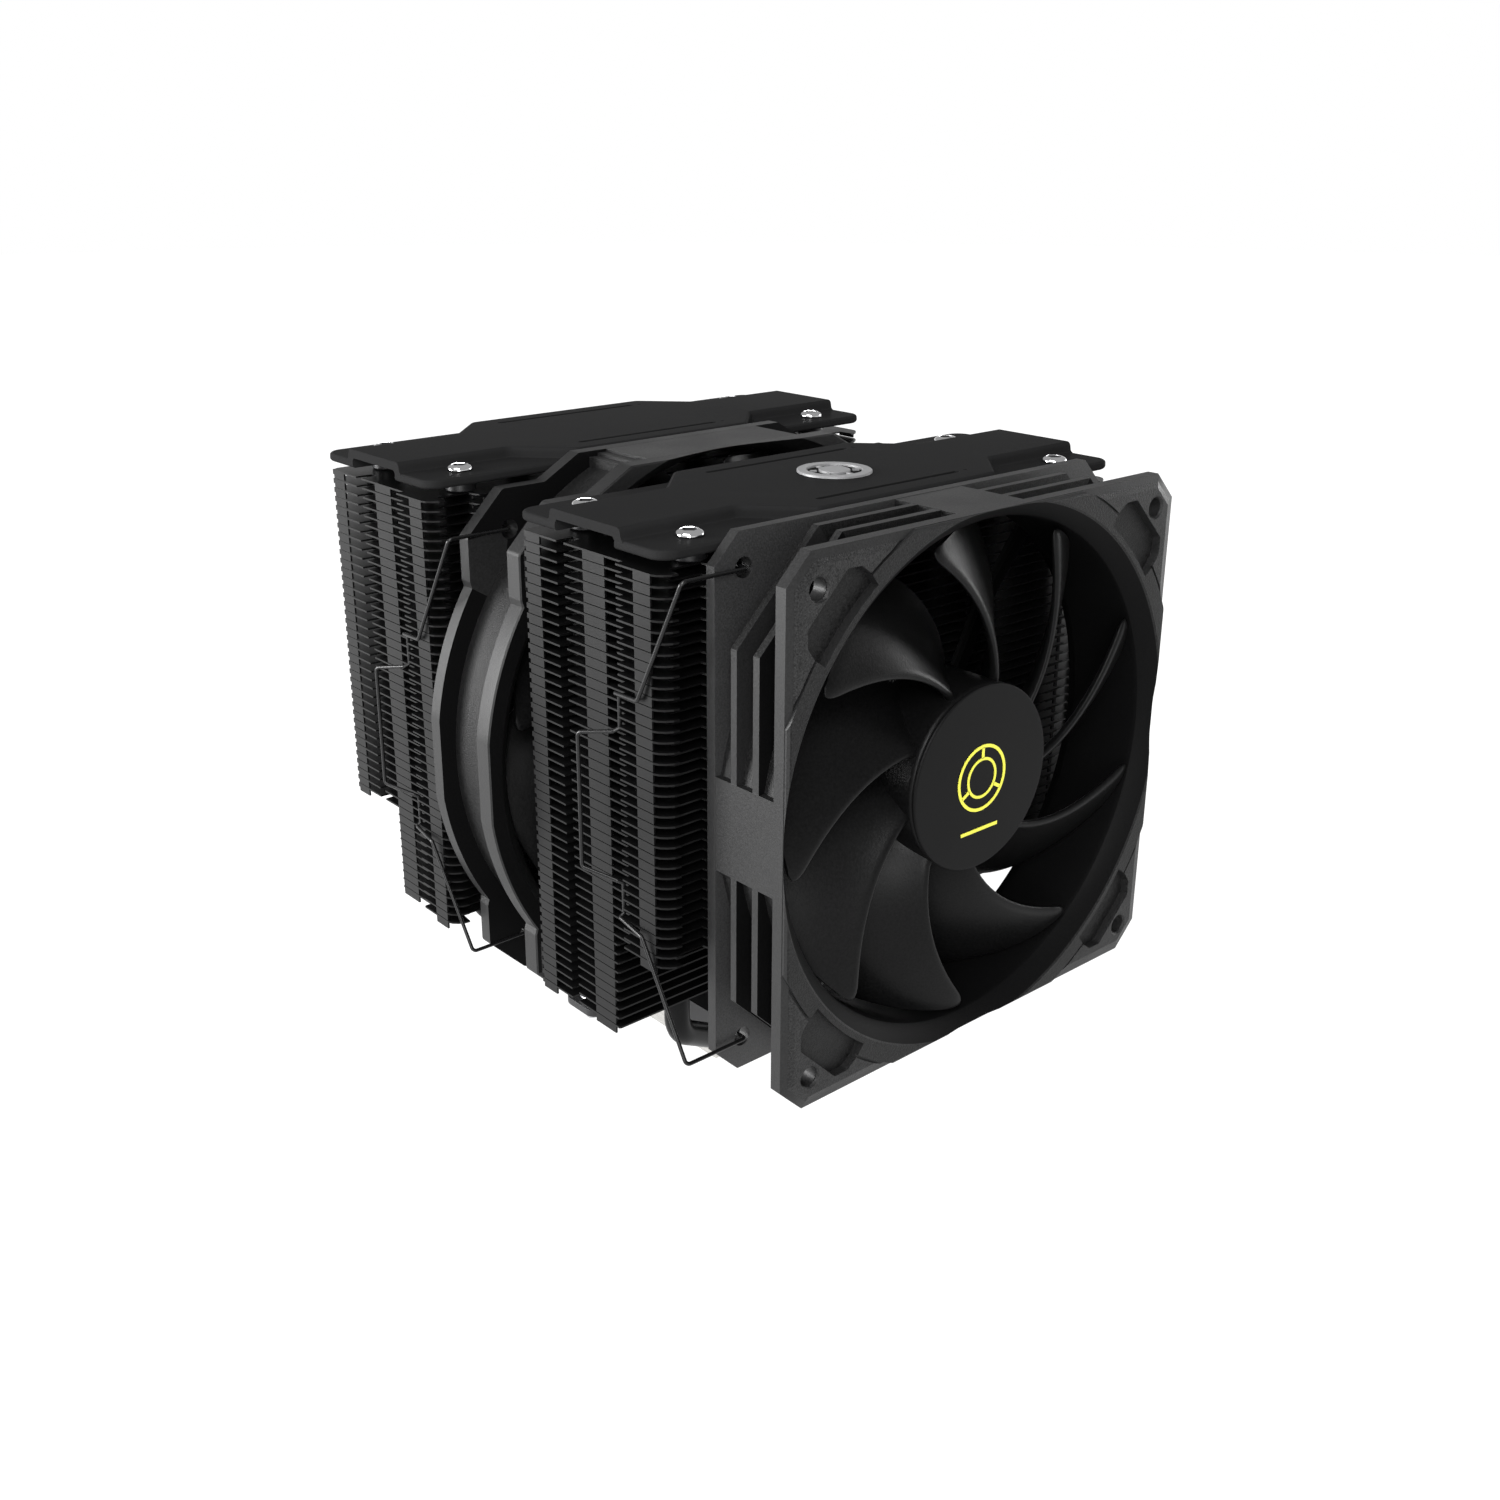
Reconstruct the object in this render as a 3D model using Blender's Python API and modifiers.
"""Dual-tower CPU air cooler with a front fan, a middle fan and wire fan clips.

Row frame: metres, +Z up.  The origin is the centre of the cold plate's bottom
contact face.  +Y is the way the air flows, so the front fan faces -Y, and X runs
across the fans.
"""
import math
import bmesh
import bpy
import numpy as np
from mathutils import Matrix, Vector

MM = 0.001

# ---------------------------------------------------------------- dimensions, mm
GAP = 0.3                    # clearance between neighbouring solids

# cold plate and its cap
BASE_HX, BASE_HY = 20.8, 25.0
PIPE_R = 3.0                 # 6 mm heat pipes
PIPE_Z = 6.8                 # axis of the pipes in the base
PIPE_BASE_PITCH = 6.6
GROOVE_R = 3.45
CAP_TOP = 12.5

# fin towers
TOWER_Y = 42.5               # centre of each tower from the base axis
TOWER_HY = 25.4              # half depth
SIDE_X = 68.0                # outer face of the side strips
SIDE_X_OUT = 70.0            # outer face of the strip on the clip side
CLIP_STEP = -10.0            # where the fin edge steps outward, from the tower centre
FIN_TOP = 145.7
FIN_BOTTOM = 38.1
FIN_N = 12                   # every fourth fin of the real stack
FIN_T = 1.1
FULL_BOTTOM = 59.0           # fins below this are cut back on the outer side
CUT_FRONT = -5.3             # cut edge of the lower fins, from the tower centre
CORNER = 6.0                 # fin corner on the clip side
STRIP_T = 0.6
STRIPS = ((18.9, 24.1), (-3.8, 3.5), (-21.3, -15.9))
SLOT_HY = 3.6                # half depth of the slot the pipe legs stand in
SLOT_HX = 52.0
LEG_X = (10.5, 29.0, 47.5)   # pipe legs, from the middle outwards
PIPE_TOP = 148.6

# top covers
COVER_HX, COVER_HY = 70.0, 25.0
COVER_R = 4.5
SHELF_Z0, SHELF_Z1 = 148.5, 150.6
PLATEAU_Z1 = 153.0
PLATEAU_T = 2.0
PLATEAU_HY = 12.4            # half depth at the ends
PLATEAU_HY_MID = 25.0        # half depth in the middle
FLARE_X0, FLARE_X1 = 27.0, 39.6
SCREW_X, SCREW_Y = 56.8, 17.35
SCREW_HEAD_R, SCREW_HEAD_H = 3.0, 1.9
SCREW_SHANK_R = 1.4

# fans
FAN_H = 25.2                 # depth of both fan frames
HOLE = 52.5                  # half the 105 mm screw hole spacing
HOLE_R = 2.2
FF_Y, FF_Z = -93.2, 93.0     # front fan, centre of its front plane
MF_Y, MF_Z = -9.4, 85.6      # middle fan
FF_HALF, FF_CH = 60.0, 6.2
FF_BORE = 57.4
FF_HUB = 22.0
MF_RAD, MF_FLAT = 75.0, 67.8
MF_EAR_X, MF_EAR_Z, MF_EAR_CH = 63.9, 62.2, 10.0
MF_BORE = 66.4
MF_HUB = 23.0
PAD_T = 0.6
FL_FRONT = (0.9, 4.5)        # front flange, depth from the front plane
FL_BACK = (21.9, 25.2)
RIBS = ((8.9, 10.7), (15.5, 17.2))
BLOCK_HW = 10.4              # half width of the solid block in the middle of a side
RIB_CH = 22.5

# mounting bar and its two spring screws
BAR_Z0, BAR_T = 12.8, 2.0
BAR_HX, BAR_HY = 46.0, 6.5
SCREW_REACH = 41.5           # half of an 83 mm hole spacing
SPRING_H = 3.2               # room for the spring under the screw head

# wire clips
WIRE_R = 0.6
HANDLE_X = 73.8              # how far out the handle stands
PIVOT_IN = 1.0               # hinge line of a clip, this far inside the flange


# ------------------------------------------------------------------- scene set-up
for ob in list(bpy.data.objects):
    bpy.data.objects.remove(ob, do_unlink=True)


def collection(name):
    col = bpy.data.collections.get(name) or bpy.data.collections.new(name)
    if name not in bpy.context.scene.collection.children:
        bpy.context.scene.collection.children.link(col)
    return col


PARTS = collection("cpu_tower_cooler")
CUTTERS = collection("cutters")


def material(name, rgb, rough, metal):
    m = bpy.data.materials.get(name) or bpy.data.materials.new(name)
    m.use_nodes = True
    b = m.node_tree.nodes["Principled BSDF"]
    b.inputs["Base Color"].default_value = (*rgb, 1.0)
    b.inputs["Roughness"].default_value = rough
    b.inputs["Metallic"].default_value = metal
    m.diffuse_color = (*rgb, 1.0)
    return m


NICKEL = material("nickel_plate", (0.62, 0.61, 0.59), 0.25, 1.0)
CAP = material("base_cap_black", (0.03, 0.03, 0.032), 0.4, 0.6)
PIPE = material("pipe_black_nickel", (0.035, 0.035, 0.037), 0.3, 0.8)
FIN = material("fin_black_anodised", (0.025, 0.025, 0.027), 0.45, 0.7)
COVER = material("cover_black", (0.03, 0.03, 0.031), 0.38, 0.2)
CHROME = material("screw_chrome", (0.8, 0.8, 0.8), 0.12, 1.0)
BADGE = material("badge_silver", (0.72, 0.72, 0.73), 0.3, 0.9)
PLASTIC = material("fan_plastic", (0.03, 0.03, 0.031), 0.6, 0.0)
BLADE = material("blade_plastic", (0.018, 0.018, 0.019), 0.35, 0.0)
RUBBER = material("pad_rubber", (0.05, 0.05, 0.052), 0.85, 0.0)
STEEL = material("steel", (0.45, 0.45, 0.46), 0.35, 1.0)
WIRE = material("clip_wire_black", (0.03, 0.03, 0.032), 0.35, 0.6)
COPPER = material("coil_copper", (0.6, 0.28, 0.12), 0.35, 0.9)
BOARD = material("board_green", (0.02, 0.1, 0.04), 0.5, 0.0)
BRASS = material("bearing_brass", (0.6, 0.47, 0.22), 0.35, 1.0)
BARM = material("bar_black", (0.03, 0.03, 0.032), 0.4, 0.7)


# ------------------------------------------------------------------------ helpers
def link(ob, col=None):
    (col or PARTS).objects.link(ob)
    return ob


def evaluated_mesh(ob):
    dg = bpy.context.evaluated_depsgraph_get()
    return bpy.data.meshes.new_from_object(ob.evaluated_get(dg))


def weld(me, dist=1e-6):
    bm = bmesh.new()
    bm.from_mesh(me)
    bmesh.ops.remove_doubles(bm, verts=bm.verts, dist=dist)
    bmesh.ops.recalc_face_normals(bm, faces=bm.faces)
    bm.to_mesh(me)
    bm.free()
    return me


def curve_to_mesh(ob, name):
    """Turns a curve object into a welded mesh object in the same place."""
    me = weld(evaluated_mesh(ob))
    mw = ob.matrix_world.copy()
    cu = ob.data
    bpy.data.objects.remove(ob, do_unlink=True)
    bpy.data.curves.remove(cu)
    me.name = name
    new = bpy.data.objects.new(name, me)
    new.matrix_world = mw
    return new


def plate(name, rings, thickness, z0=0.0):
    """A flat outline with holes, extruded from z0 to z0 + thickness, in mm."""
    cu = bpy.data.curves.new(name + "_outline", "CURVE")
    cu.dimensions = "2D"
    cu.fill_mode = "BOTH"
    cu.extrude = thickness * MM / 2
    for ring in rings:
        sp = cu.splines.new("POLY")
        sp.points.add(len(ring) - 1)
        for p, (x, y) in zip(sp.points, ring):
            p.co = (x * MM, y * MM, 0, 1)
        sp.use_cyclic_u = True
    ob = bpy.data.objects.new(name, cu)
    link(ob)
    bpy.context.view_layer.update()
    new = curve_to_mesh(ob, name)
    new.data.transform(Matrix.Translation((0, 0, (z0 + thickness / 2) * MM)))
    return link(new)


def box(name, lo, hi):
    """A box between two corners, in mm."""
    bm = bmesh.new()
    bmesh.ops.create_cube(bm, size=1.0)
    me = bpy.data.meshes.new(name)
    bm.to_mesh(me)
    bm.free()
    s = [(h - l) * MM for l, h in zip(lo, hi)]
    c = [(h + l) * MM / 2 for l, h in zip(lo, hi)]
    me.transform(Matrix.Translation(c) @ Matrix.Diagonal((*s, 1)))
    return link(bpy.data.objects.new(name, me))


def cylinder(name, r, z0, z1, n=16, centre=(0, 0), r2=None, turn=0.0):
    bm = bmesh.new()
    bmesh.ops.create_cone(bm, cap_ends=True, segments=n, radius1=r * MM,
                          radius2=(r if r2 is None else r2) * MM, depth=(z1 - z0) * MM)
    me = bpy.data.meshes.new(name)
    bm.to_mesh(me)
    bm.free()
    me.transform(Matrix.Translation((centre[0] * MM, centre[1] * MM, (z0 + z1) / 2 * MM))
                 @ Matrix.Rotation(turn, 4, "Z"))
    return link(bpy.data.objects.new(name, me))


def turned(name, profile, steps):
    """A closed ring or solid turned about Z from an (r, z) profile, top to bottom
    down its outer side."""
    me = bpy.data.meshes.new(name)
    n = len(profile)
    closed = profile[0][0] > 0 and profile[-1][0] > 0
    edges = [(i, i + 1) for i in range(n - 1)] + ([(n - 1, 0)] if closed else [])
    me.from_pydata([(r * MM, 0, z * MM) for r, z in profile], edges, [])
    ob = link(bpy.data.objects.new(name, me))
    sc = ob.modifiers.new("Screw", "SCREW")
    sc.steps = sc.render_steps = steps
    sc.use_merge_vertices = True
    sc.merge_threshold = 1e-6
    sc.use_smooth_shade = True
    bpy.context.view_layer.update()
    me2 = weld(evaluated_mesh(ob))
    me2.name = name
    ob.modifiers.clear()
    ob.data = me2
    return ob


def wire(name, pts, radius, res=1):
    """A round wire through points, in mm, with filled ends."""
    cu = bpy.data.curves.new(name + "_path", "CURVE")
    cu.dimensions = "3D"
    cu.bevel_depth = radius * MM
    cu.bevel_resolution = res
    cu.use_fill_caps = True
    sp = cu.splines.new("POLY")
    sp.points.add(len(pts) - 1)
    for p, co in zip(sp.points, pts):
        p.co = (*[c * MM for c in co], 1)
    ob = bpy.data.objects.new(name, cu)
    link(ob)
    bpy.context.view_layer.update()
    return link(curve_to_mesh(ob, name))


def rounded_path(corners, radius, steps=3):
    """Points along a polyline whose inner corners are rounded, in mm."""
    P = [Vector(c) for c in corners]
    out = [P[0]]
    for a, b, c in zip(P, P[1:], P[2:]):
        u, v = (a - b), (c - b)
        lu, lv = u.length, v.length
        u.normalize()
        v.normalize()
        ang = math.acos(max(-1, min(1, u.dot(v))))
        if ang > math.pi - 0.05:
            out.append(b)
            continue
        t = min(radius / math.tan(ang / 2), lu * 0.45, lv * 0.45)
        r = t * math.tan(ang / 2)
        m = (u + v).normalized()
        centre = b + m * (r / math.sin(ang / 2))
        s, e = b + u * t - centre, b + v * t - centre
        for i in range(steps + 1):
            k = i / steps
            total = math.pi - ang
            w0 = math.sin((1 - k) * total) / math.sin(total)
            w1 = math.sin(k * total) / math.sin(total)
            out.append(centre + s * w0 + e * w1)
    out.append(P[-1])
    return [tuple(p) for p in out]


def boolean(ob, other, op="UNION", keep=False):
    md = ob.modifiers.new(op, "BOOLEAN")
    md.object = other
    md.operation = op
    md.solver = "EXACT"
    other.hide_render = True
    other.display_type = "WIRE"
    bpy.context.view_layer.update()
    me = evaluated_mesh(ob)
    me.name = ob.name
    ob.modifiers.clear()
    ob.data = me
    if not keep:
        bpy.data.objects.remove(other, do_unlink=True)
    return ob


def join_meshes(name, obs):
    """Several closed solids as one mesh object (for use as a Boolean operand)."""
    bm = bmesh.new()
    for ob in obs:
        me = ob.data.copy()
        me.transform(ob.matrix_basis)
        bm.from_mesh(me)
        bpy.data.objects.remove(ob, do_unlink=True)
    me = bpy.data.meshes.new(name)
    bm.to_mesh(me)
    bm.free()
    return link(bpy.data.objects.new(name, me))


def tidy(ob, angle=0.3):
    """Dissolves the flat seams that the Booleans leave."""
    bm = bmesh.new()
    bm.from_mesh(ob.data)
    bmesh.ops.remove_doubles(bm, verts=bm.verts, dist=2e-7)
    bmesh.ops.dissolve_limit(bm, angle_limit=math.radians(angle), verts=bm.verts,
                             edges=bm.edges, use_dissolve_boundaries=False)
    bm.to_mesh(ob.data)
    bm.free()
    return ob


def finish(ob, mat, smooth=None):
    ob.data.materials.clear()
    ob.data.materials.append(mat)
    if smooth is not None:
        ob.data.shade_smooth()
        ob.data.set_sharp_from_angle(angle=math.radians(smooth))
    return ob


def circle(r, n, centre=(0, 0), turn=0.0):
    return [(centre[0] + r * math.cos(turn + 2 * math.pi * i / n),
             centre[1] + r * math.sin(turn + 2 * math.pi * i / n)) for i in range(n)]


def octagon(hx, hy, ch):
    return [(hx - ch, -hy), (hx, -hy + ch), (hx, hy - ch), (hx - ch, hy),
            (-hx + ch, hy), (-hx, hy - ch), (-hx, -hy + ch), (-hx + ch, -hy)]


def rounded_rect(hx, hy, r, n=4):
    pts = []
    for cx, cy, a0 in ((hx - r, hy - r, 0), (-hx + r, hy - r, 90), (-hx + r, -hy + r, 180),
                       (hx - r, -hy + r, 270)):
        for i in range(n + 1):
            a = math.radians(a0 + 90 * i / n)
            pts.append((cx + r * math.cos(a), cy + r * math.sin(a)))
    return pts


# ------------------------------------------------------------- cold plate and cap
def grooved_profile(z_flat, z_split, n=6):
    """Half section (x, z) of a block whose split face has one groove per pipe."""
    pts = [(-BASE_HX, z_flat), (-BASE_HX, z_split)]
    up = z_flat < z_split
    for k in range(6):
        xc = (k - 2.5) * PIPE_BASE_PITCH
        half = math.acos(abs(z_split - PIPE_Z) / GROOVE_R)
        for i in range(n + 1):
            a = (math.pi / 2 - half) + 2 * half * i / n
            z = -GROOVE_R * math.sin(a) if up else GROOVE_R * math.sin(a)
            pts.append((xc - GROOVE_R * math.cos(a), PIPE_Z + z))
    pts += [(BASE_HX, z_split), (BASE_HX, z_flat)]
    return pts


def along_y(ob, y0):
    """Stands an extruded (x, z) profile up so that its depth runs along +Y."""
    ob.data.transform(Matrix.Translation((0, y0 * MM, 0)) @ Matrix.Rotation(math.pi / 2, 4, "X")
                      @ Matrix.Diagonal((1, 1, -1, 1)))
    ob.data.flip_normals()
    return ob


cold_plate = along_y(plate("cold_plate", [grooved_profile(0.0, PIPE_Z - 0.15)], 2 * BASE_HY), -BASE_HY)
weld(cold_plate.data)
finish(cold_plate, NICKEL)

base_cap = along_y(plate("base_cap", [grooved_profile(CAP_TOP, PIPE_Z + 0.15)], 2 * BASE_HY), -BASE_HY)
weld(base_cap.data)
finish(base_cap, CAP)

# --------------------------------------------------------------------- heat pipes
for k in range(6):
    side = -1 if k < 3 else 1
    rank = (2 - k) if k < 3 else (k - 3)          # 0 is next to the middle
    xb = (k - 2.5) * PIPE_BASE_PITCH
    xl = side * LEG_X[rank]
    half = [(xb, 0, PIPE_Z), (xb, BASE_HY + 6.0, PIPE_Z),
            (xl, TOWER_Y, 25.0 + 0.8 * rank), (xl, TOWER_Y, PIPE_TOP)]
    corners = [(x, -y, z) for x, y, z in reversed(half[1:])] + half[1:]
    path = rounded_path(corners, 8.0, 3)
    pipe = wire("heat_pipe_%d" % (k + 1), path, PIPE_R, 2)
    finish(pipe, PIPE, 50)


# --------------------------------------------------------------------- fin towers
def fin_outline(cut):
    """Outline of one fin, clip side towards -Y; cut gives the short lower fins."""
    sx, so = SIDE_X - 0.3, SIDE_X_OUT - 0.3
    hy = TOWER_HY
    right = [(sx - 1.6, hy), (sx, hy - 1.6)]
    if cut:
        right += [(sx, CUT_FRONT)]
    else:
        right += [(sx, CLIP_STEP), (so, CLIP_STEP), (so, -hy + CORNER - 1.5), (so - CORNER, -hy)]
    left = [(-x, y) for x, y in reversed(right)]
    return right + left


def fin_tower(name, y_centre, flip):
    """A stack of fins held by six side strips, with a slot for the pipe legs.
    flip turns the clip steps of the short lower fins to the other side."""
    pitch = (FIN_TOP - FIN_BOTTOM) / (FIN_N - 1)
    fins = []
    slot = [(-SLOT_HX, -SLOT_HY), (-SLOT_HX, SLOT_HY), (SLOT_HX, SLOT_HY), (SLOT_HX, -SLOT_HY)]
    holes = [circle(PIPE_R + 0.55, 8, (s * x, 0), 0.3 + 0.07 * s * j)
             for j, x in enumerate(LEG_X, 1) for s in (-1, 1)]
    for i in range(FIN_N):
        z = FIN_TOP - i * pitch
        low = z < FULL_BOTTOM
        if flip and low:
            out = [(x, y) for x, y in fin_outline(False) if y < 5]
            out = [(SIDE_X - 0.3, 4.1)] + [p for p in out] + [(-SIDE_X + 0.3, 4.1)]
        else:
            out = fin_outline(low)
        inner = holes if i in (0, FIN_N - 1) else [slot]
        fins.append(plate("fin", [out] + inner, FIN_T, z - FIN_T))
    stack = join_meshes(name, fins)
    strips = []
    for j, (y0, y1) in enumerate(STRIPS):
        xo = SIDE_X_OUT if j == 2 else SIDE_X
        top = FIN_TOP - 0.4
        short = (j == 2 and not flip) or (j == 0 and flip)
        bottom = FULL_BOTTOM - 0.4 if short else FIN_BOTTOM - FIN_T + 0.3
        for s in (-1, 1):
            x0, x1 = sorted((s * xo, s * (xo - STRIP_T)))
            strips.append(box("strip", (x0, y0, bottom), (x1, y1, top)))
    strip_mesh = join_meshes("strips", strips)
    boolean(stack, strip_mesh, "UNION")
    tidy(stack)
    stack.location = (0, y_centre * MM, 0)
    return finish(stack, FIN)


fin_tower("fin_stack_front", -TOWER_Y, False)
fin_tower("fin_stack_rear", TOWER_Y, True)


# --------------------------------------------------------------------- top covers
def plateau_outline(inset, hx):
    a, b = PLATEAU_HY - inset, PLATEAU_HY_MID - inset
    x1 = FLARE_X1 - inset * 0.4
    x0 = FLARE_X0 - inset * 0.4
    q = [(hx, a - 0.15), (x1, a), (x0, b)]
    return (q + [(-x, y) for x, y in reversed(q)] + [(-x, -y) for x, y in q]
            + [(x, -y) for x, y in reversed(q)])


def top_cover(name, y_centre):
    body = plate(name, [rounded_rect(COVER_HX, COVER_HY, COVER_R, 3)], SHELF_Z1 - SHELF_Z0, SHELF_Z0)
    raised = plate("raised", [plateau_outline(0.0, COVER_HX - 0.2)], PLATEAU_Z1 - SHELF_Z0 - 0.3,
                   SHELF_Z0 + 0.3)
    for v in raised.data.vertices:              # sloping walls
        if v.co.z > (SHELF_Z1 + 0.2) * MM:
            v.co.y -= math.copysign(0.8 * MM, v.co.y)
    boolean(body, raised, "UNION")
    hollow = plate("hollow", [plateau_outline(PLATEAU_T + 0.3, COVER_HX + 5.0)],
                   PLATEAU_Z1 - PLATEAU_T - SHELF_Z0 + 2.0, SHELF_Z0 - 2.0)
    boolean(body, hollow, "DIFFERENCE")
    bores = join_meshes("bores", [cylinder("b", SCREW_SHANK_R + 0.4, SHELF_Z0 - 1, SHELF_Z1 + 1, 8,
                                           (sx * SCREW_X, sy * SCREW_Y))
                                  for sx in (-1, 1) for sy in (-1, 1)])
    boolean(body, bores, "DIFFERENCE")
    # two long engraved lines
    lines = join_meshes("lines", [box("l", (-20.5, sy * 18.0 - 0.45, PLATEAU_Z1 - 0.5),
                                      (20.5, sy * 18.0 + 0.45, PLATEAU_Z1 + 1.0)) for sy in (-1, 1)])
    boolean(body, lines, "DIFFERENCE")
    tidy(body)
    body.location = (0, y_centre * MM, 0)
    return finish(body, COVER)


def cover_screw(name, x, y):
    z = SHELF_Z1 + GAP
    prof = [(0, z + SCREW_HEAD_H), (SCREW_HEAD_R * 0.8, z + SCREW_HEAD_H),
            (SCREW_HEAD_R, z + SCREW_HEAD_H * 0.5), (SCREW_HEAD_R, z), (SCREW_SHANK_R, z),
            (SCREW_SHANK_R, SHELF_Z0 - 1.6), (0, SHELF_Z0 - 1.6)]
    ob = turned(name, prof, 8)
    socket = cylinder("hex", 1.35, z + 0.7, z + SCREW_HEAD_H + 1, 6)
    boolean(ob, socket, "DIFFERENCE")
    ob.location = (x * MM, y * MM, 0)
    return finish(ob, CHROME, 40)


for tag, yc in (("front", -TOWER_Y), ("rear", TOWER_Y)):
    top_cover("top_cover_" + tag, yc)
    n = 0
    for sy in (-1, 1):
        for sx in (-1, 1):
            n += 1
            cover_screw("cover_screw_%s_%d" % (tag, n), sx * SCREW_X, yc + sy * SCREW_Y)

badge = cylinder("cover_badge", 8.6, PLATEAU_Z1 + 0.1, PLATEAU_Z1 + 0.6, 24, (0, -TOWER_Y))
finish(badge, BADGE)


# --------------------------------------------------------------------------- fans
def to_fan(ob, y_front, z_centre):
    """Fan parts are modelled with their axis on Z, front face down at z = 0; this
    turns the axis onto +Y with the fan's centre at z_centre."""
    ob.rotation_euler = (-math.pi / 2, 0, 0)
    ob.location = (0, y_front * MM, z_centre * MM)
    return ob


def round_frame_outline(n=7):
    """The middle fan: a 150 mm disc cut flat top and bottom, with four ears."""
    q = []
    a0 = math.asin(0.0)
    y_low = math.sqrt(MF_RAD ** 2 - MF_EAR_X ** 2)
    a1 = math.asin(y_low / MF_RAD)
    for i in range(n):
        a = a0 + (a1 - a0) * (i + 0.5) / n
        q.append((MF_RAD * math.cos(a), MF_RAD * math.sin(a)))
    q.append((MF_EAR_X, y_low + 2.0))
    q.append((MF_EAR_X, MF_EAR_Z - MF_EAR_CH))
    q.append((MF_EAR_X - MF_EAR_CH, MF_EAR_Z))
    x_in = math.sqrt(MF_RAD ** 2 - MF_EAR_Z ** 2)
    q.append((x_in, MF_EAR_Z))
    q.append((math.sqrt(MF_RAD ** 2 - MF_FLAT ** 2), MF_FLAT))
    return (q + [(-x, y) for x, y in reversed(q)] + [(-x, -y) for x, y in q]
            + [(x, -y) for x, y in reversed(q)])


def screw_holes(n=8):
    return [circle(HOLE_R, n, (sx * HOLE, sy * HOLE)) for sx in (-1, 1) for sy in (-1, 1)]


def fan_frame(name, outline, rib_outline, bore, hub_r, half_x, half_z, block_hw, nseg):
    a0, a1 = FL_FRONT
    parts = [plate("f", [outline, circle(bore + 0.4, nseg)] + screw_holes(), a1 - a0, a0),
             plate("b", [outline, circle(bore + 0.4, nseg)] + screw_holes(),
                   FL_BACK[1] - FL_BACK[0], FL_BACK[0])]
    for r0, r1 in RIBS if rib_outline else ():
        parts.append(plate("r", [rib_outline, circle(bore + 0.4, nseg)], r1 - r0, r0))
    discs = join_meshes(name, parts)
    # duct wall, bulging between the flanges where there are no ribs
    wall = 1.6
    tube = turned("tube", [(bore, a0 - 0.6), (bore + wall, a0 - 0.6), (bore + wall, FL_BACK[1] - 0.3),
                           (bore, FL_BACK[1] - 0.3)][::-1], nseg)
    boolean(discs, tube, "UNION")
    blocks = []
    w = block_hw
    for (lo, hi) in (((-w, bore + 0.8), (w, half_z - 0.02)), ((-w, -half_z + 0.02), (w, -bore - 0.8)),
                     ((bore + 0.8, -w), (half_x - 0.02, w)), ((-half_x + 0.02, -w), (-bore - 0.8, w))):
        blocks.append(box("blk", (lo[0], lo[1], a0 + 0.5), (hi[0], hi[1], FL_BACK[1] - 0.5)))
    boolean(discs, join_meshes("blocks", blocks), "UNION")
    # motor seat and its four struts at the back
    z0 = FL_BACK[1] - 2.6
    seat = cylinder("seat", hub_r - 0.4, z0, z0 + 2.3, 24)
    struts = []
    for k in range(4):
        s = box("strut", (hub_r - 3.0, -1.6, z0 + 0.1), (bore + 0.9, 1.6, z0 + 2.2))
        s.data.transform(Matrix.Rotation(math.radians(45 + 90 * k), 4, "Z"))
        struts.append(s)
    boolean(seat, join_meshes("struts", struts), "UNION")
    post = cylinder("post", 4.6, z0 - 6.5, z0 + 1.0, 16)
    boolean(seat, post, "UNION")
    pocket = cylinder("pocket", 3.3, z0 - 8.0, z0 + 1.2, 16)
    boolean(seat, pocket, "DIFFERENCE")
    boolean(discs, seat, "UNION")
    tidy(discs)
    return finish(discs, PLASTIC)


def impeller(name, hub_r, tip_r, blades, sweep_deg, z0, z1, phase_deg):
    """Cup-shaped hub with forward-swept blades, front face at z0.  phase_deg is the
    turn of the first blade's leading tip from +X, and sweep_deg how far the root of
    the leading edge lags behind its tip."""
    hub = turned(name, [(0, z0), (hub_r - 1.2, z0), (hub_r, z0 + 1.2), (hub_r, z1),
                        (hub_r - 1.3, z1), (hub_r - 1.3, z0 + 1.8), (0, z0 + 1.8)][::-1], 27)
    n_r, n_c = 3, 2
    blade_obs = []
    for k in range(blades):
        base = math.radians(phase_deg) + 2 * math.pi * k / blades
        verts, faces = [], []
        for i in range(n_r + 1):
            u = i / n_r
            r = hub_r - 0.7 + (tip_r - hub_r + 0.7) * u
            chord = math.radians(38 - 6 * u)
            lead = base + math.radians(sweep_deg) * (1 - u) ** 1.1
            for j in range(n_c + 1):
                v = j / n_c
                a = lead + chord * v
                lo, hi = z0 + 3.0 - 1.2 * u, z1 - 1.8 + 0.4 * u
                z = lo + (hi - lo) * (v + 0.10 * math.sin(math.pi * v))
                verts.append((r * math.cos(a) * MM, r * math.sin(a) * MM, z * MM))
        w = n_c + 1
        for i in range(n_r):
            for j in range(n_c):
                faces.append((i * w + j, i * w + j + 1, (i + 1) * w + j + 1, (i + 1) * w + j))
        me = bpy.data.meshes.new("blade")
        me.from_pydata(verts, [], faces)
        ob = link(bpy.data.objects.new("blade", me))
        so = ob.modifiers.new("Solidify", "SOLIDIFY")
        so.thickness = 1.3 * MM
        so.offset = 0
        bpy.context.view_layer.update()
        me2 = evaluated_mesh(ob)
        ob.modifiers.clear()
        ob.data = me2
        bm = bmesh.new()
        bm.from_mesh(me2)
        bmesh.ops.recalc_face_normals(bm, faces=bm.faces)
        bm.to_mesh(me2)
        bm.free()
        blade_obs.append(ob)
    boolean(hub, join_meshes("blades", blade_obs), "UNION")
    tidy(hub, 0.5)
    return finish(hub, BLADE, 40)


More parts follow.
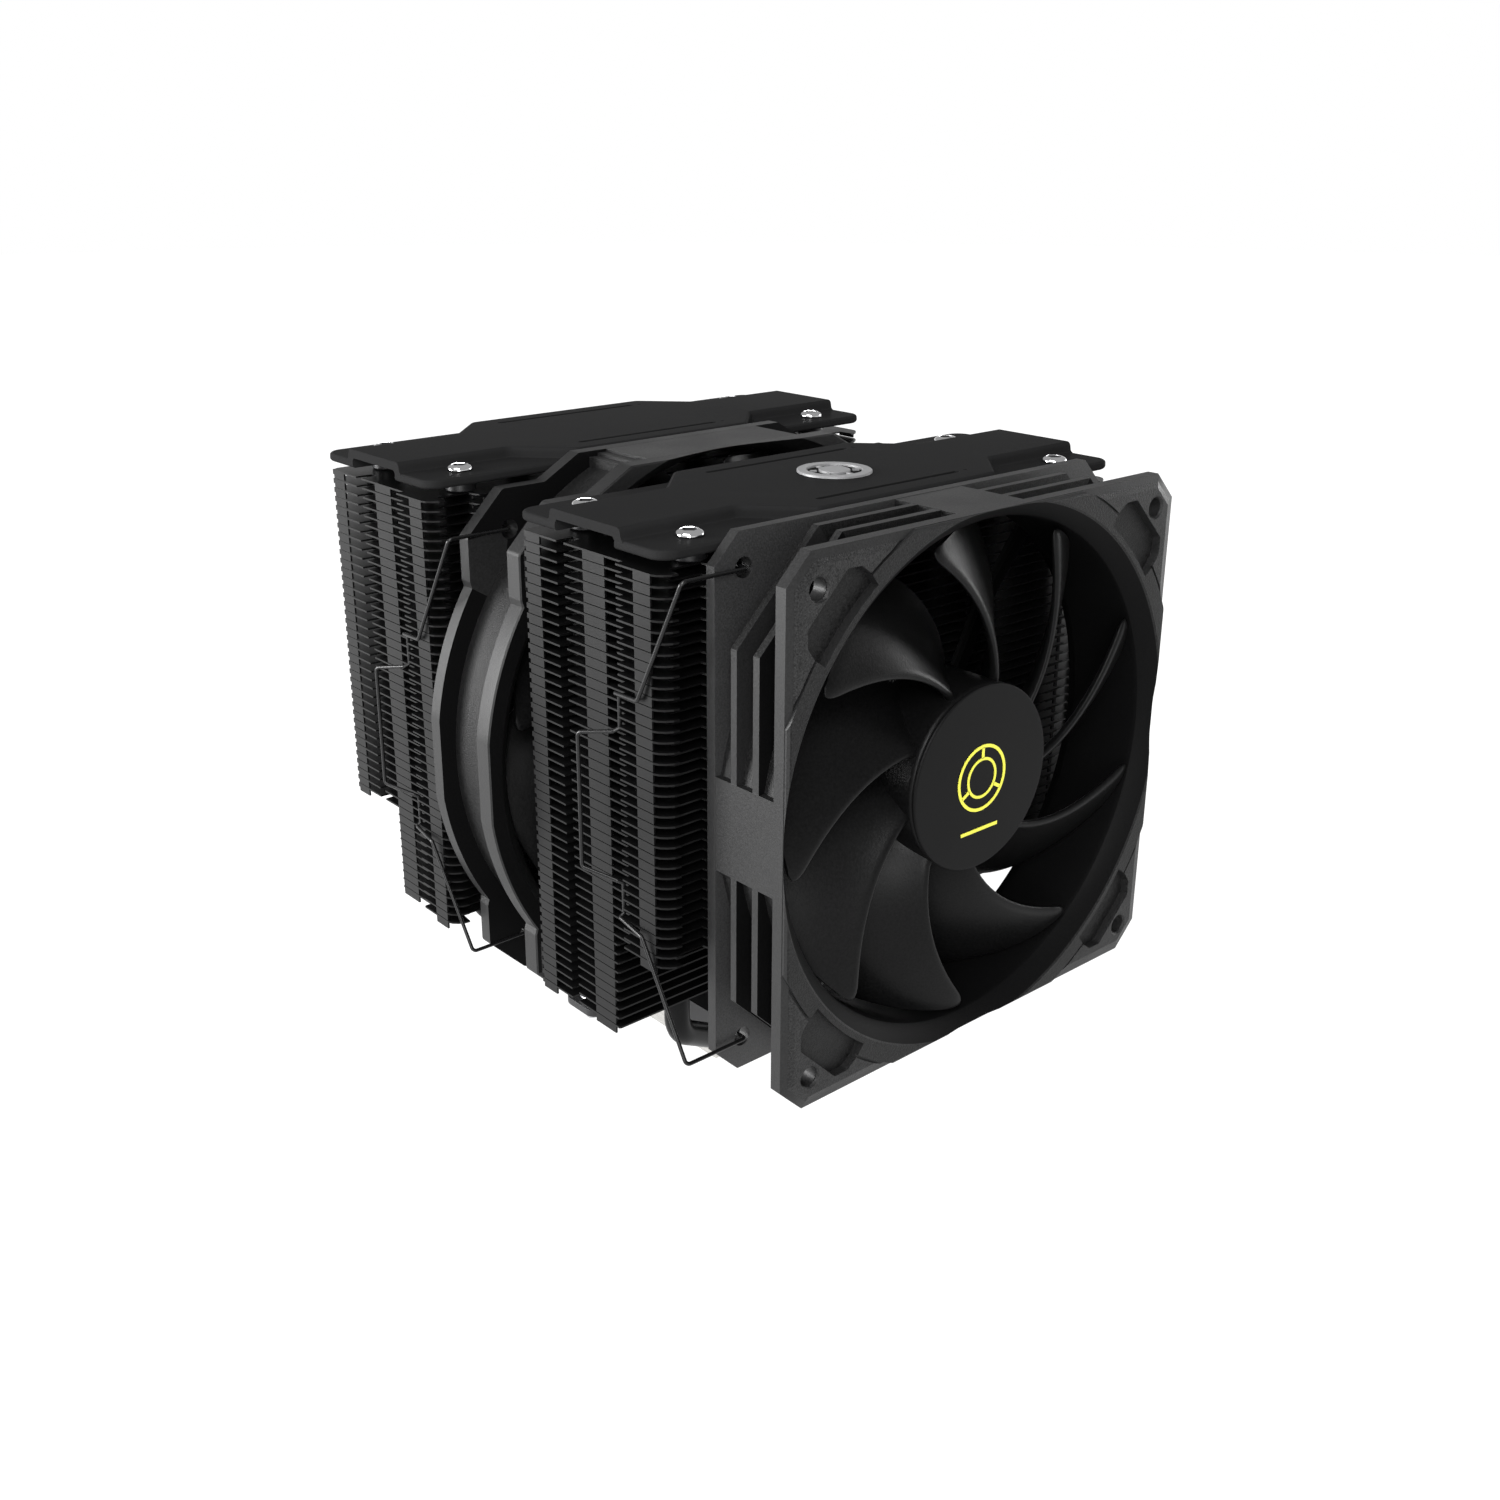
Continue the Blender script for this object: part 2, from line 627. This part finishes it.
def corner_pad(name, half_x, half_z, ch, sx, sy, bore, cut):
    """Rubber pad over one corner of the frame's front, with the screw hole."""
    hx, hz = half_x - 0.9, half_z - 0.9
    a = cut
    ring = [(hx, a), (hx, hz - ch), (hx - ch, hz), (a, hz)]
    # inner edge follows the opening at a small distance
    r = bore + 2.2
    n = 5
    t0 = math.atan2(hz if a / hz < 1 else hz, a)
    start = math.atan2(math.sqrt(max(r * r - a * a, 0)), a)
    end = math.atan2(a, math.sqrt(max(r * r - a * a, 0)))
    pts = []
    if math.sqrt(max(r * r - a * a, 0)) < hz - 0.6:
        for i in range(n + 1):
            t = start + (end - start) * i / n
            pts.append((r * math.cos(t), r * math.sin(t)))
    ring = ring + pts
    hole = circle(HOLE_R + 0.3, 8, (HOLE, HOLE))
    tr = lambda L: [(sx * x, sy * y) for x, y in (L if sx * sy > 0 else reversed(L))]
    pad = plate(name, [tr(ring), tr(hole)], PAD_T, 0.0)
    return finish(pad, RUBBER)


def fan(tag, y_front, z_centre, outline, rib_outline, half_x, half_z, bore, hub_r, ch, pad_cut,
        pad_x, pad_z, blades, sweep, phase, nseg):
    parts = []
    parts.append(fan_frame("fan_frame_" + tag, outline, rib_outline, bore, hub_r, half_x, half_z,
                           BLOCK_HW, nseg))
    parts.append(impeller("impeller_" + tag, hub_r, bore - 1.2, blades, sweep, 2.9, 21.6, phase))
    ring = turned("rotor_ring_" + tag, [(hub_r - 1.6, 5.2), (hub_r - 1.6, 20.8), (hub_r - 3.4, 20.8),
                                        (hub_r - 3.4, 5.2)], 20)
    parts.append(finish(ring, STEEL, 40))
    parts.append(finish(cylinder("shaft_" + tag, 1.5, 5.0, 21.5, 12), STEEL, 40))
    # windings on a four-pole core
    pole = []
    for k in range(4):
        b = math.pi / 2 * k
        for a, r in ((-0.55, hub_r - 4.4), (0.0, hub_r - 4.0), (0.55, hub_r - 4.4), (0.62, hub_r - 6.2),
                     (0.30, 10.5), (math.pi / 4, 7.2)):
            pole.append((r * math.cos(b + a), r * math.sin(b + a)))
    stator = plate("stator_" + tag, [pole, circle(5.0, 12)], 10.0, 7.5)
    parts.append(finish(stator, COPPER))
    pcb = plate("motor_board_" + tag, [circle(hub_r - 4.0, 20), circle(5.0, 12)], 1.2, 18.6)
    parts.append(finish(pcb, BOARD))
    bearing = turned("bearing_" + tag, [(2.9, 16.3), (2.9, 21.8), (1.8, 21.8), (1.8, 16.3)], 12)
    parts.append(finish(bearing, BRASS, 40))
    n = 0
    for sy in (1, -1):
        for sx in (-1, 1):
            n += 1
            parts.append(corner_pad("corner_pad_%s_%d" % (tag, n), pad_x, pad_z, ch, sx, sy,
                                    bore, pad_cut))
    for p in parts:
        to_fan(p, y_front, z_centre)
    return parts


fan("front", FF_Y, FF_Z, octagon(FF_HALF, FF_HALF, FF_CH), octagon(FF_HALF - 0.02, FF_HALF - 0.02, RIB_CH),
    FF_HALF, FF_HALF, FF_BORE, FF_HUB, FF_CH, 28.0, FF_HALF, FF_HALF, 9, 36, 10, 30)
mf = round_frame_outline()
fan("middle", MF_Y, MF_Z, mf, None, 74.4, MF_FLAT, MF_BORE, MF_HUB, MF_EAR_CH,
    44.0, MF_EAR_X, MF_EAR_Z, 9, 36, 27, 32)


# ----------------------------------------------------- mounting bar, spring screws
bar = plate("mounting_bar", [rounded_rect(BAR_HX, BAR_HY, 3.0, 2), circle(2.6, 12, (SCREW_REACH, 0)),
                             circle(2.6, 12, (-SCREW_REACH, 0))], BAR_T, BAR_Z0)
finish(bar, BARM)
for tag, s in (("left", -1), ("right", 1)):
    z = BAR_Z0 + BAR_T
    h = z + SPRING_H
    prof = [(0, h + 2.2), (3.0, h + 2.2), (3.3, h + 1.8), (3.3, h), (2.0, h),
            (2.0, 6.0), (1.4, 5.2), (0, 5.2)]
    sc = turned("spring_screw_" + tag, prof, 10)
    slot = box("slot", (-4.5, -0.5, h + 1.2), (4.5, 0.5, h + 3.0))
    boolean(sc, slot, "DIFFERENCE")
    sc.location = (s * SCREW_REACH * MM, 0, 0)
    finish(sc, STEEL, 40)
    coil = []
    turns, per = 1.75, 8
    n = int(turns * per)
    zb, zt = z + GAP + 0.3, h - GAP - 0.3
    for i in range(n + 1):
        a = 2 * math.pi * i / per
        t = i / n
        coil.append((s * SCREW_REACH + 2.75 * math.cos(a), 2.75 * math.sin(a), zb + (zt - zb) * t))
    sp = wire("screw_spring_" + tag, coil, 0.3, 1)
    finish(sp, STEEL, 50)


# --------------------------------------------------------------------- wire clips
def clip_path(y_hole, z_c, y_slot, side):
    """Clip bent from one wire: hooks in the fan's back flange holes, arms out past
    the tower's side, and a handle bulging from the row of fin steps."""
    xo = SIDE_X_OUT + GAP + WIRE_R
    h = [(HOLE, y_hole + 1.9, HOLE), (HOLE, y_hole - WIRE_R - GAP, HOLE),
         (xo, y_hole - WIRE_R - GAP, HOLE), (xo + 0.1, y_slot - 7.0, 26.3),
         (xo + 0.1, y_slot + 0.9, 25.2), (xo + 0.1, y_slot + 0.9, 16.6), (HANDLE_X, y_slot + 8.8, 15.4)]
    pts = [(side * x, y, z_c + z) for x, y, z in h]
    pts += [(side * x, y, z_c - z) for x, y, z in reversed(h)]
    return pts


for tag, fy, fz, ty in (("front", FF_Y, FF_Z, -TOWER_Y), ("middle", MF_Y, MF_Z, TOWER_Y)):
    for side, sname in ((-1, "left"), (1, "right")):
        pivot = Vector((side * HOLE * MM, (fy + FL_BACK[0] + PIVOT_IN) * MM, fz * MM))
        path = rounded_path(clip_path(fy + FL_BACK[0], fz, ty + CLIP_STEP, side), 1.6, 1)
        clip = wire("wire_clip_%s_%s" % (tag, sname), path, WIRE_R, 1)
        clip.data.transform(Matrix.Translation(-pivot))
        clip.location = pivot
        finish(clip, WIRE, 60)

if not CUTTERS.objects:
    bpy.data.collections.remove(CUTTERS)
